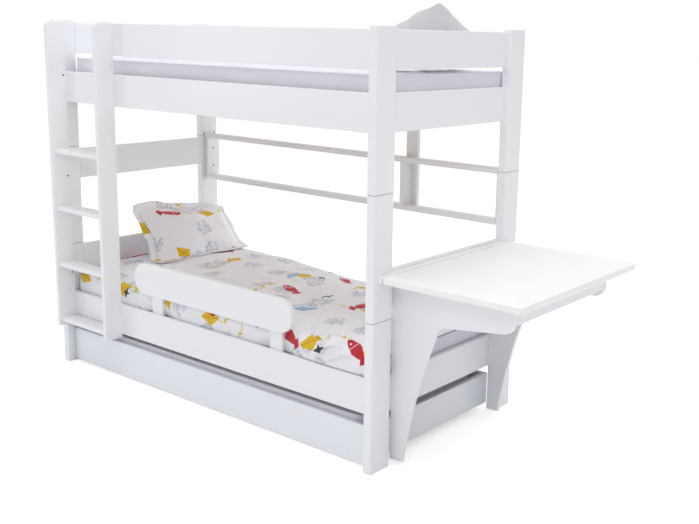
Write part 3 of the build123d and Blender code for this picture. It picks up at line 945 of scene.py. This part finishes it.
def on_bed(u, v, w):
    """A point of the lower pillow, leant on the headboard and pressed flat where it rests on the duvet."""
    droop = -74 * smooth(v, 20, 250) * smooth(u, -130, 210)
    if u > 0 and v > 0:
        droop -= 46 * smooth(math.hypot(u, v), 250, 350)
    crown = 34 * smooth(v, 60, 250) * max(0.0, 1 - (u / 260) ** 2)
    bulge = 24 * smooth(u, 60, 260) * smooth(v, -150, 0)
    curl = 17 * smooth(v, 150, 240) * (1 - smooth(u, -270, -80))
    spot = (u, v + crown + droop * 0.7, w + droop * 0.2 + bulge + curl)
    x, y, z = leant(spot, LOWER_PILLOW_AT, 90, LOWER_PILLOW_TILT)
    near_foot = smooth(-u, 60, 260) * smooth(-v, -60, 160)
    x = max(x - 22 * near_foot, HEADBOARD_FACE)
    y = min(y - 24 * near_foot, MATTRESS_Y[1] - 2)
    return place(x, y, pressed(z, DUVET_TOP, 26, 60, 2.2))


def make_stitch_tree():
    """A short stitch on every point, lying along the point's own direction."""
    sizes = [("Length", "float", 0.005), ("Yarn", "float", 0.0006), ("Finish", "material", None)]
    tree, given, out = geometry_tree("stitches_on_points", sizes)
    thread = {"Vertices": 6, "Radius": given["Yarn"], "Depth": given["Length"]}
    stitch = add(tree, "GeometryNodeMeshCylinder", thread)
    return spread_out(tree, given, out, stitch.outputs["Mesh"])


def seam_points(body, rim, out, lift, step):
    """Places and directions of stitches that run round a pillow's border, out from its seam."""
    centre = Vector(body.mean(0))
    seam = [Vector(body[k]) for k in rim]
    loop = []
    for k, here in enumerate(seam):
        spot = here + outward(seam, k, centre) * out
        loop.append(on_bed(spot.x, spot.y, spot.z + lift))
    points, directions = [], []
    for a, b in zip(loop, loop[1:] + loop[:1]):
        pieces = max(1, round((b - a).length / (step * MM)))
        for i in range(pieces):
            points.append(a.lerp(b, (i + 0.5) / pieces))
            directions.append((b - a).normalized())
    return points, directions


def make_lower_pillow(paint):
    """The printed pillow that leans on the headboard, with a wide flat border round it."""
    points, faces, flat, rim = sewn_grid(600, 430, 11, 26)
    body = plump(points, faces, 540, 376, 172)
    hem_points, hem_faces, hem_cloth = flange(body, rim, 42, 0.7)
    body_points, body_faces, body_cloth = refined(body, faces, flat)
    shift = len(body_points)
    placed = [on_bed(*spot) for spot in body_points + hem_points]
    joined = body_faces + [tuple(k + shift for k in face) for face in hem_faces]
    made = piece(
        "lower_pillow_printed", placed, joined, body_cloth + hem_cloth, paint["printed_cotton_pillow"],
        "bed_frame",
    )
    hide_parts("lower_pillow")
    points, directions = seam_points(body, rim, 6, 2.6, 9)
    values = {"Length": 0.0055, "Yarn": 0.0006, "Finish": paint["grey_cotton"]}
    grown("pillow_stitches", make_stitch_tree(), points, directions, values, "bed_frame")


def top_edge(u):
    """The height of the upper pillow's drawn-up top edge along its width."""
    places = (-300, -150, UPPER_PILLOW_PEAK, 160, 300)
    return float(np.interp(u, places, (26, 88, 156, 96, 36)))


def make_upper_pillow(paint):
    """The plain pillow propped on the end guard, one corner drawn up to a peak."""
    width, height, stuffed_width = 640, 400, 590
    points, faces, flat, _ = sewn_grid(width, height, 12, 24)
    body = plump(points, faces, stuffed_width, 290, 146)
    body_points, body_faces, cloth = refined(body, faces, flat)
    placed = []
    for spot, (flat_u, flat_v, _) in zip(body_points, cloth):
        u = 0.8 * flat_u / MM * stuffed_width / width + 0.2 * spot[0]
        share = min(max(flat_v / MM / height + 0.5, 0), 1)
        v = UPPER_PILLOW_FOOT + share * (top_edge(u) - UPPER_PILLOW_FOOT)
        pinch = 1 - 0.5 * share ** 2 * math.exp(-((u - UPPER_PILLOW_PEAK) / 130) ** 2)
        pleat = math.sin(u * 0.055 + 0.6) * 4 * share + math.sin(u * 0.021 - 1) * 6 * share
        x, y, z = leant((u, v, spot[2] * pinch + pleat), UPPER_PILLOW_AT, -90, UPPER_PILLOW_TILT)
        placed.append(place(min(x, END_GUARD_FACE), y, pressed(z, SHEET_TOP, 24, 50, 2)))
    made = piece(
        "upper_pillow_plain", placed, body_faces, cloth, paint["grey_cotton"], "bed_frame",
    )
    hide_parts("upper_pillow")


def make_mattresses(paint):
    """The three mattresses; the upper one wears a fitted sheet."""
    sizes = {
        "lower_mattress": (MATTRESS_X, MATTRESS_Y, (300.3, MATTRESS_TOP), 2, "mattress_cover", "bed_frame"),
        "upper_mattress": (MATTRESS_X, MATTRESS_Y, (1423.3, SHEET_TOP - 1), 7, "fitted_sheet", "bed_frame"),
        "pull_mattress": ((96, 1994), (66, 864), (62.3, 204), 4, "mattress_cover", "pull_out_bed"),
    }
    for seed, (node, (xs, ys, zs, crease, finish, body)) in enumerate(sizes.items()):
        points, faces, cloth = slab(xs, ys, zs, crease, seed * 5.3)
        made = piece(f"{node}_cover", points, faces, cloth, paint[finish], body)
        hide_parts(node)


# Small fittings


def geometry_tree(name, sizes):
    """An empty Geometry Nodes tree: a mesh and named sizes in, a mesh out."""
    mesh = ("Geometry", "geometry")
    return group(name, [(*mesh, None), *sizes], [mesh], "GeometryNodeTree")


def spread_out(tree, given, out, shape):
    """Ends a tree with a shape on every point, along the point's own direction, as one painted mesh."""
    facing = add(tree, "GeometryNodeInputNamedAttribute", {"Name": "facing"}, data_type="FLOAT_VECTOR")
    turn = add(tree, "FunctionNodeAlignRotationToVector", {"Vector": facing.outputs[0]}, axis="Z")
    spread = add(
        tree, "GeometryNodeInstanceOnPoints",
        {"Points": given["Geometry"], "Instance": shape, "Rotation": turn.outputs[0]},
    )
    real = add(tree, "GeometryNodeRealizeInstances", {0: spread.outputs[0]})
    painted = add(tree, "GeometryNodeSetMaterial", {"Geometry": real.outputs[0], "Material": given["Finish"]})
    tree.links.new(painted.outputs[0], out["Geometry"])
    return tree


def make_screw_tree():
    """A flat screw head with a fine cross on every point, facing along the point's own direction."""
    sizes = [("Head", "float", 0.0042), ("Proud", "float", 0.0004), ("Finish", "material", None)]
    tree, given, out = geometry_tree("screws_on_points", sizes)
    disc = {"Vertices": 16, "Radius": given["Head"], "Depth": given["Proud"]}
    shapes = [add(tree, "GeometryNodeMeshCylinder", disc)]
    bar_long = calc(tree, "MULTIPLY", given["Head"], 1.2)
    bar_thin = calc(tree, "MULTIPLY", given["Head"], 0.26)
    bar_deep = calc(tree, "MULTIPLY", given["Proud"], 1.6)
    for across, along in ((bar_long, bar_thin), (bar_thin, bar_long)):
        bar = add(tree, "ShaderNodeCombineXYZ", {0: across, 1: along, 2: bar_deep})
        shapes.append(add(tree, "GeometryNodeMeshCube", {"Size": bar.outputs[0]}))
    join = tree.nodes.new("GeometryNodeJoinGeometry")
    for shape in shapes:
        tree.links.new(shape.outputs["Mesh"], join.inputs[0])
    return spread_out(tree, given, out, join.outputs[0])


def grown(name, tree, points, directions, values, body):
    """A plain mesh grown by a Geometry Nodes tree from points with a direction each."""
    seed = set_out(name + "_seed", plain_mesh(name, points, [], {"facing": directions}))
    modifier = seed.modifiers.new("grow", "NODES")
    modifier.node_group = tree
    sockets = {item.name: item.identifier for item in tree.interface.items_tree if item.in_out == "INPUT"}
    for key, value in values.items():
        modifier[sockets[key]] = value
    seed.update_tag()
    done = taken_in(seed)
    done.name = name
    made = set_out(name, done)
    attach(made, body)


def make_screws(paint):
    """The small dark screw heads that show at the treads, in the shelf's bays and on the back posts."""
    tread_screws = [((62, 428), 26, z) for z in (480, 980, 1481)]
    shelf_screws = [((62, 2028), 982, z) for z in (946, 1048)]
    post_screws = [((40, 2050), y, 1134) for y in (935, 1008)]
    points, directions = [], []
    for ends, y, z in tread_screws + shelf_screws + post_screws:
        for x, side in zip(ends, (1, -1)):
            points.append(place(x + 0.2 * side, y, z))
            directions.append((side, 0, 0))
    values = {"Head": 0.0044, "Proud": 0.0005, "Finish": paint["screw_dark"]}
    grown("screw_heads", make_screw_tree(), points, directions, values, "bed_frame")


# Stage


def make_floor():
    """A wide pale floor, bright to the eye and still taking the shadow."""
    made, tree, shader, spot = material("studio_floor")
    pale = between(tree, speckle(tree, spot, 3, 3), (0.86, 0.86, 0.86, 1), (0.84, 0.84, 0.84, 1))
    tree.links.new(pale, shader.inputs["Base Color"])
    shader.inputs["Roughness"].default_value = 0.9
    shader.inputs["Specular IOR Level"].default_value = 0.1
    path = add(tree, "ShaderNodeLightPath").outputs
    seen = calc(tree, "ADD", path["Is Camera Ray"], path["Is Glossy Ray"])
    seen = calc(tree, "ADD", seen, path["Is Transmission Ray"], clamp=True)
    shader.inputs["Emission Color"].default_value = (1, 1, 1, 1)
    tree.links.new(calc(tree, "MULTIPLY", seen, 0.5), shader.inputs["Emission Strength"])
    reach = 60
    corners = [(-reach, -reach, 0), (reach, -reach, 0), (reach, reach, 0), (-reach, reach, 0)]
    mesh = plain_mesh("floor", corners, [(0, 1, 2, 3)])
    mesh.materials.append(made)
    floor = set_out("floor", mesh)
    floor.location.z = -0.0005


def lamp(name, at, look, size, power, colour=(1, 1, 1), mirrored=True):
    """A soft rectangular studio lamp; mirrored is whether it shows in the gloss."""
    data = bpy.data.lights.new(name, "AREA")
    data.shape = "RECTANGLE"
    data.size, data.size_y = size
    data.energy = power
    data.color = colour
    made = set_out(name, data)
    made.location = at
    made.rotation_euler = (Vector(look) - Vector(at)).to_track_quat("-Z", "Y").to_euler()
    made.visible_camera = False
    made.visible_glossy = mirrored


def make_light():
    """Even white surroundings, a key lamp front right, and softboxes front left, above and behind."""
    world = bpy.data.worlds.new("surroundings")
    bpy.context.scene.world = world
    world.use_nodes = True
    tree = world.node_tree
    path = add(tree, "ShaderNodeLightPath").outputs
    seen = calc(tree, "ADD", path["Is Camera Ray"], path["Is Transmission Ray"], clamp=True)
    strength = calc(tree, "MULTIPLY_ADD", seen, 1 - ROOM_LIGHT, ROOM_LIGHT)
    tree.nodes["Background"].inputs["Color"].default_value = (1, 1, 1, 1)
    tree.links.new(strength, tree.nodes["Background"].inputs["Strength"])
    lamp("key_lamp", (3.2, -4.2, 3.9), (0, 0, 0.8), (1.4, 1.4), 38, (1.0, 0.98, 0.965))
    lamp("left_softbox", (-3.5, -3.5, 1.9), (-0.3, -0.2, 1.2), (0.9, 1.8), 14, (0.96, 0.98, 1.0))
    lamp("top_softbox", (0.5, -0.4, 7.0), (0.5, 0, 0), (5.6, 4.4), 196)
    lamp("back_softbox", (0.0, 3.8, 1.7), (-0.6, 0, 0.6), (2.4, 1.8), 48, (1.0, 0.985, 0.98), False)


def make_camera():
    """The camera where the photographer stood."""
    data = bpy.data.cameras.new("viewpoint")
    data.sensor_width = 36
    data.lens = CAMERA_LENS
    data.shift_x, data.shift_y = CAMERA_SHIFT
    yaw, pitch, roll = (math.radians(a) for a in (CAMERA_YAW, CAMERA_PITCH, CAMERA_ROLL))
    ahead = Vector((math.sin(yaw) * math.cos(pitch), math.cos(yaw) * math.cos(pitch), -math.sin(pitch)))
    right = Vector((math.cos(yaw), -math.sin(yaw), 0))
    up = right.cross(ahead)
    turned_right = right * math.cos(roll) + up * math.sin(roll)
    turned_up = up * math.cos(roll) - right * math.sin(roll)
    matrix = Matrix((turned_right, turned_up, -ahead)).transposed().to_4x4()
    matrix.translation = place(*CAMERA_AT)
    camera = set_out("viewpoint", data)
    camera.matrix_world = matrix
    bpy.context.scene.camera = camera


def paint_frame(paint):
    """Gives every CAD node the finish of its slot."""
    for entry in frame["record"]["subparts"]:
        node = frame["nodes"][entry["node"]]
        node.data.materials.clear()
        node.data.materials.append(paint[entry["material_slot"]])


paint = make_materials()
paint_frame(paint)
make_mattresses(paint)
make_duvet(paint)
make_lower_pillow(paint)
make_upper_pillow(paint)
make_screws(paint)
make_floor()
make_light()
make_camera()
bpy.context.scene.view_settings.view_transform = "Standard"
